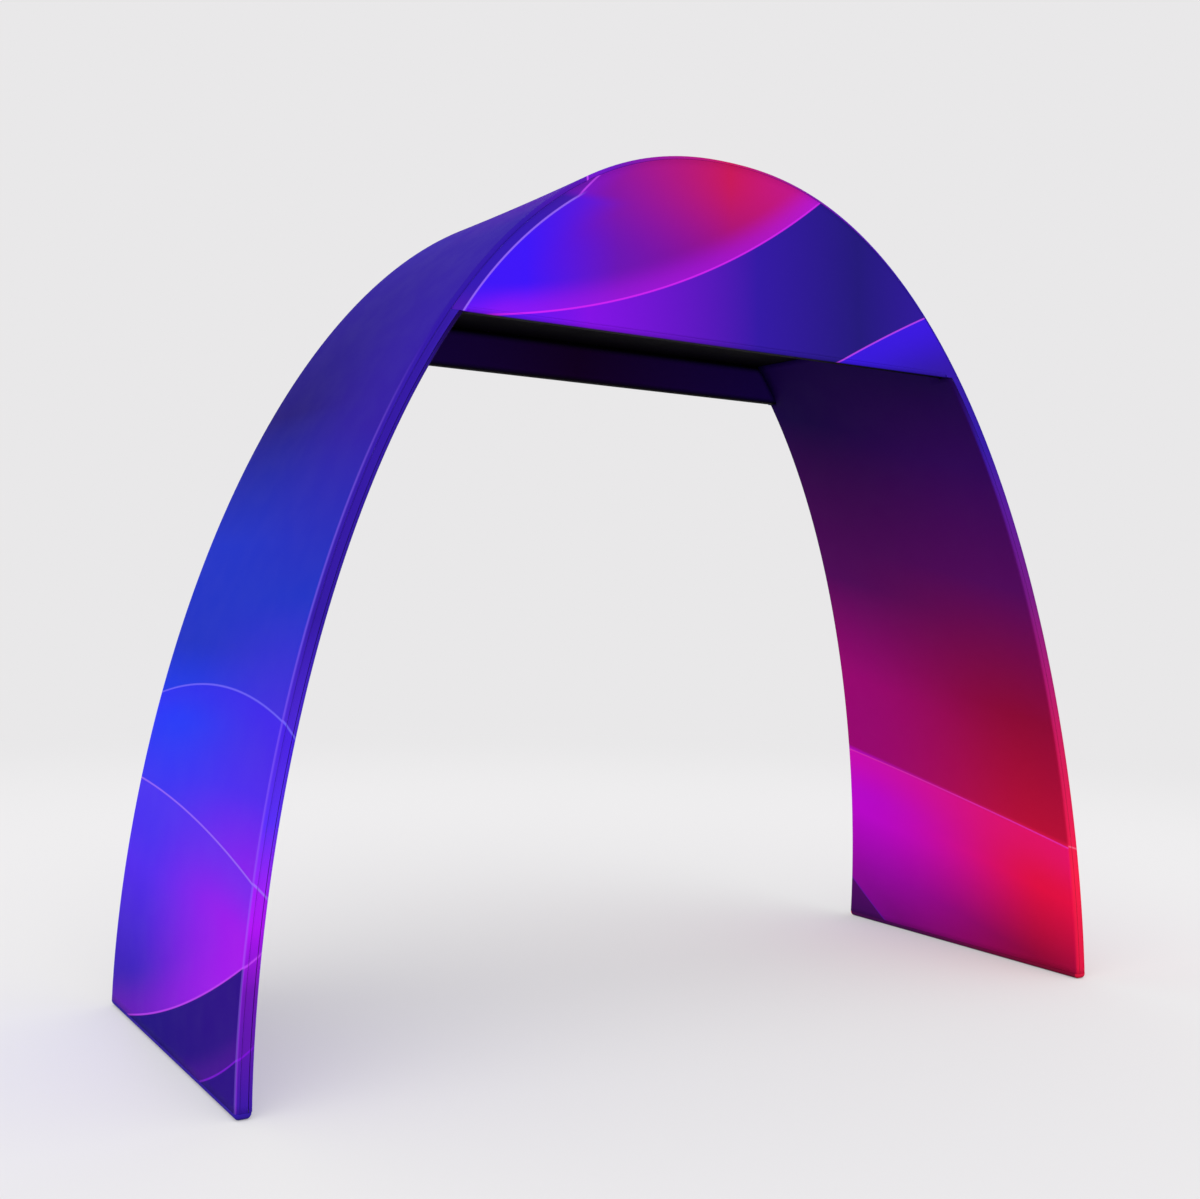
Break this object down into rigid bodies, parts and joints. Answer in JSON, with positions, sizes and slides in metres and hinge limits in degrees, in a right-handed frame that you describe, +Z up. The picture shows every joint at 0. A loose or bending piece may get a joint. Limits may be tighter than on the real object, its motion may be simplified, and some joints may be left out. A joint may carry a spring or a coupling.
{
  "type": "tension fabric arch on tube frame",
  "caption": "Walk-through entrance arch: a printed stretch cover pulled over a thin curved band frame, with a straight header at front and back.",
  "frame": {"origin": "on the floor, midway between the two feet and between the front and back faces", "axes": "+Z up, +X along the width to the right as seen from the front, and the front face looks towards -Y"},
  "size_m": [3, 1.1582, 2.58],
  "materials": {
    "outer_print": "satin stretch polyester knit, dye-printed royal blue to indigo",
    "inner_print": "satin stretch polyester knit, dye-printed magenta, red and dark purple",
    "face_print": "satin stretch polyester knit, dye-printed blue-violet, purple and magenta",
    "underside_print": "satin stretch polyester knit, dye-printed very dark navy",
    "frame_tube": "mill-finish extruded tube",
    "base_bar": "black powder-coated steel bar"
  },
  "bodies": {
    "root": {"outer_panel": "outer_print", "inner_panel_left": "inner_print", "inner_panel_right": "inner_print", "header_face_front": "face_print", "header_face_back": "face_print", "leg_face_front_left": "face_print", "leg_face_front_right": "face_print", "leg_face_back_left": "face_print", "leg_face_back_right": "face_print", "header_return_front": "underside_print", "header_return_back": "underside_print", "soffit_panel": "underside_print", "foot_panel_left": "outer_print", "foot_panel_right": "outer_print", "arch_tube_front_left": "frame_tube", "arch_tube_front_top": "frame_tube", "arch_tube_front_right": "frame_tube", "arch_tube_back_left": "frame_tube", "arch_tube_back_top": "frame_tube", "arch_tube_back_right": "frame_tube", "header_tube_front": "frame_tube", "header_tube_back": "frame_tube", "cross_tube_mid_left": "frame_tube", "cross_tube_mid_right": "frame_tube", "cross_tube_header_left": "frame_tube", "cross_tube_header_right": "frame_tube", "cross_tube_top": "frame_tube", "base_bar_left": "base_bar", "base_bar_right": "base_bar"}
  },
  "joints": []
}
